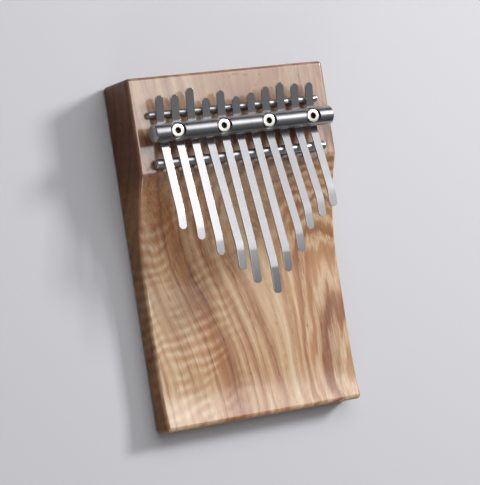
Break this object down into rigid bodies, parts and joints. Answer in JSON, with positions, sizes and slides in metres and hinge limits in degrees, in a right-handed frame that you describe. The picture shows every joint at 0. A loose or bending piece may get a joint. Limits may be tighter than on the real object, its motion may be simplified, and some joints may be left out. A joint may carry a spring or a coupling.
{
  "type": "thumb piano",
  "caption": "Solid wooden thumb piano with spring steel tines clamped by a round pressure bar over two bridge rods.",
  "frame": {"origin": "centre of the flat back, which it rests on", "axes": "+X across the board, +Y along the board towards the head end with the hardware, +Z out of the playing face"},
  "size_m": [0.115, 0.178, 0.0459],
  "materials": {
    "oiled_ash": "satin oil over tan ash with brown growth bands",
    "spring_steel": "polished flat spring strip",
    "bridge_steel": "bright drawn rod",
    "bar_steel": "satin turned bar",
    "screw_steel": "bright plated socket screws",
    "insert_brass": "plain turned brass"
  },
  "bodies": {
    "board": {"body_board": "oiled_ash", "rear_rod": "bridge_steel", "front_rod": "bridge_steel", "pressure_bar": "bar_steel", "clamp_screw_1": "screw_steel", "thread_insert_1": "insert_brass", "clamp_screw_2": "screw_steel", "thread_insert_2": "insert_brass", "clamp_screw_3": "screw_steel", "thread_insert_3": "insert_brass", "clamp_screw_4": "screw_steel", "thread_insert_4": "insert_brass"},
    "tine_01": {"tine_01_shank": "spring_steel"},
    "tongue_01": {"tine_01_tongue": "spring_steel"},
    "tine_02": {"tine_02_shank": "spring_steel"},
    "tongue_02": {"tine_02_tongue": "spring_steel"},
    "tine_03": {"tine_03_shank": "spring_steel"},
    "tongue_03": {"tine_03_tongue": "spring_steel"},
    "tine_04": {"tine_04_shank": "spring_steel"},
    "tongue_04": {"tine_04_tongue": "spring_steel"},
    "tine_05": {"tine_05_shank": "spring_steel"},
    "tongue_05": {"tine_05_tongue": "spring_steel"},
    "tine_06": {"tine_06_shank": "spring_steel"},
    "tongue_06": {"tine_06_tongue": "spring_steel"},
    "tine_07": {"tine_07_shank": "spring_steel"},
    "tongue_07": {"tine_07_tongue": "spring_steel"},
    "tine_08": {"tine_08_shank": "spring_steel"},
    "tongue_08": {"tine_08_tongue": "spring_steel"},
    "tine_09": {"tine_09_shank": "spring_steel"},
    "tongue_09": {"tine_09_tongue": "spring_steel"},
    "tine_10": {"tine_10_shank": "spring_steel"},
    "tongue_10": {"tine_10_tongue": "spring_steel"},
    "tine_11": {"tine_11_shank": "spring_steel"},
    "tongue_11": {"tine_11_tongue": "spring_steel"}
  },
  "joints": [
    {"name": "tune_01", "type": "slide", "parent": "board", "child": "tine_01", "axis": [0, 1, 0], "range_m": [-0.0012, 0.0012]},
    {"name": "pluck_01", "type": "hinge", "parent": "tine_01", "child": "tongue_01", "pos_m": [-0.04375, 0.0409, 0.03424], "axis": [1, 0, 0], "range_deg": [-3, 4], "stiffness_Nm_per_rad": 4.82},
    {"name": "tune_02", "type": "slide", "parent": "board", "child": "tine_02", "axis": [0, 1, 0], "range_m": [-0.0012, 0.0012]},
    {"name": "pluck_02", "type": "hinge", "parent": "tine_02", "child": "tongue_02", "pos_m": [-0.035, 0.0409, 0.03424], "axis": [1, 0, 0], "range_deg": [-3, 4], "stiffness_Nm_per_rad": 4.05},
    {"name": "tune_03", "type": "slide", "parent": "board", "child": "tine_03", "axis": [0, 1, 0], "range_m": [-0.0012, 0.0012]},
    {"name": "pluck_03", "type": "hinge", "parent": "tine_03", "child": "tongue_03", "pos_m": [-0.02625, 0.0409, 0.03425], "axis": [1, 0, 0], "range_deg": [-3, 4], "stiffness_Nm_per_rad": 3.32},
    {"name": "tune_04", "type": "slide", "parent": "board", "child": "tine_04", "axis": [0, 1, 0], "range_m": [-0.0012, 0.0012]},
    {"name": "pluck_04", "type": "hinge", "parent": "tine_04", "child": "tongue_04", "pos_m": [-0.0175, 0.0409, 0.03453], "axis": [1, 0, 0], "range_deg": [-3, 4], "stiffness_Nm_per_rad": 2.81},
    {"name": "tune_05", "type": "slide", "parent": "board", "child": "tine_05", "axis": [0, 1, 0], "range_m": [-0.0012, 0.0012]},
    {"name": "pluck_05", "type": "hinge", "parent": "tine_05", "child": "tongue_05", "pos_m": [-0.00875, 0.0409, 0.03426], "axis": [1, 0, 0], "range_deg": [-3, 4], "stiffness_Nm_per_rad": 2.49},
    {"name": "tune_06", "type": "slide", "parent": "board", "child": "tine_06", "axis": [0, 1, 0], "range_m": [-0.0012, 0.0012]},
    {"name": "pluck_06", "type": "hinge", "parent": "tine_06", "child": "tongue_06", "pos_m": [0, 0.0409, 0.03436], "axis": [1, 0, 0], "range_deg": [-3, 4], "stiffness_Nm_per_rad": 2.27},
    {"name": "tune_07", "type": "slide", "parent": "board", "child": "tine_07", "axis": [0, 1, 0], "range_m": [-0.0012, 0.0012]},
    {"name": "pluck_07", "type": "hinge", "parent": "tine_07", "child": "tongue_07", "pos_m": [0.00875, 0.0409, 0.03437], "axis": [1, 0, 0], "range_deg": [-3, 4], "stiffness_Nm_per_rad": 2.63},
    {"name": "tune_08", "type": "slide", "parent": "board", "child": "tine_08", "axis": [0, 1, 0], "range_m": [-0.0012, 0.0012]},
    {"name": "pluck_08", "type": "hinge", "parent": "tine_08", "child": "tongue_08", "pos_m": [0.0175, 0.0409, 0.03466], "axis": [1, 0, 0], "range_deg": [-3, 4], "stiffness_Nm_per_rad": 3.07},
    {"name": "tune_09", "type": "slide", "parent": "board", "child": "tine_09", "axis": [0, 1, 0], "range_m": [-0.0012, 0.0012]},
    {"name": "pluck_09", "type": "hinge", "parent": "tine_09", "child": "tongue_09", "pos_m": [0.02625, 0.0409, 0.03467], "axis": [1, 0, 0], "range_deg": [-3, 4], "stiffness_Nm_per_rad": 3.85},
    {"name": "tune_10", "type": "slide", "parent": "board", "child": "tine_10", "axis": [0, 1, 0], "range_m": [-0.0012, 0.0012]},
    {"name": "pluck_10", "type": "hinge", "parent": "tine_10", "child": "tongue_10", "pos_m": [0.035, 0.0409, 0.03474], "axis": [1, 0, 0], "range_deg": [-3, 4], "stiffness_Nm_per_rad": 4.41},
    {"name": "tune_11", "type": "slide", "parent": "board", "child": "tine_11", "axis": [0, 1, 0], "range_m": [-0.0012, 0.0012]},
    {"name": "pluck_11", "type": "hinge", "parent": "tine_11", "child": "tongue_11", "pos_m": [0.04375, 0.0409, 0.03452], "axis": [1, 0, 0], "range_deg": [-3, 4], "stiffness_Nm_per_rad": 5.05}
  ]
}
